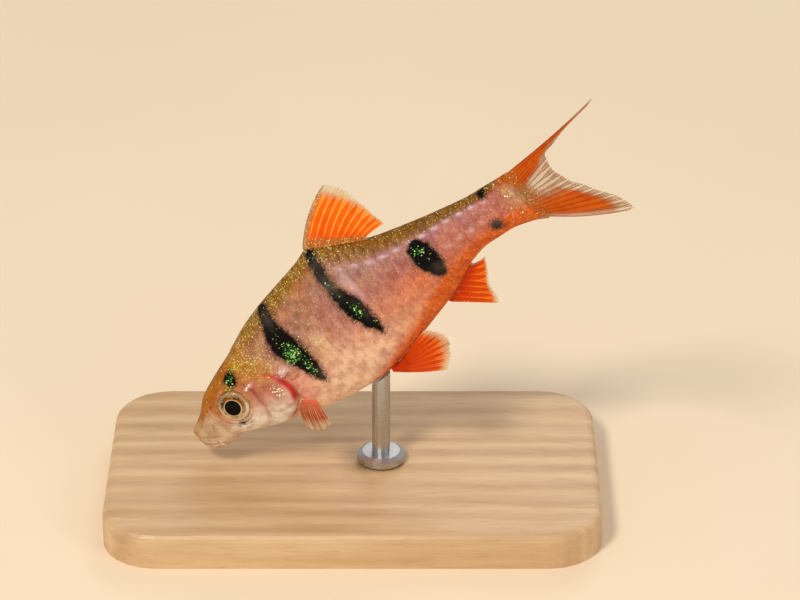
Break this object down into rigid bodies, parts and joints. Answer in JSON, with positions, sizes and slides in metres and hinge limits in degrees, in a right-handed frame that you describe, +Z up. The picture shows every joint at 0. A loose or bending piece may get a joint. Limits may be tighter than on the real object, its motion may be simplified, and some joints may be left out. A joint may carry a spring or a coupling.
{
  "type": "six-banded barb fish model on a stand",
  "caption": "Life-size still model of a small banded barb, nose down with its tail swung to its left, held by a rod over a flat oblong base.",
  "frame": {"origin": "centre of the stand base's flat underside", "axes": "+Z up, away from the floor. The fish heads towards -X and its left flank faces -Y"},
  "size_m": [0.0556, 0.032, 0.052],
  "materials": {
    "flesh": "satin",
    "head_skin": "satin",
    "gill_cover": "glossy",
    "fin": "satin",
    "eye": "glossy",
    "maple": "satin",
    "steel": "brushed"
  },
  "bodies": {
    "root": {"head": "head_skin", "gill_cover_left": "gill_cover", "gill_cover_right": "gill_cover", "eye_left": "eye", "eye_right": "eye", "torso": "flesh", "tail": "flesh", "dorsal_fin": "fin", "anal_fin": "fin", "tail_fin_upper": "fin", "tail_fin_lower": "fin", "pectoral_fin_left": "fin", "pectoral_fin_right": "fin", "pelvic_fin_left": "fin", "pelvic_fin_right": "fin", "stand_base": "maple", "stand_rod": "steel"}
  },
  "joints": []
}
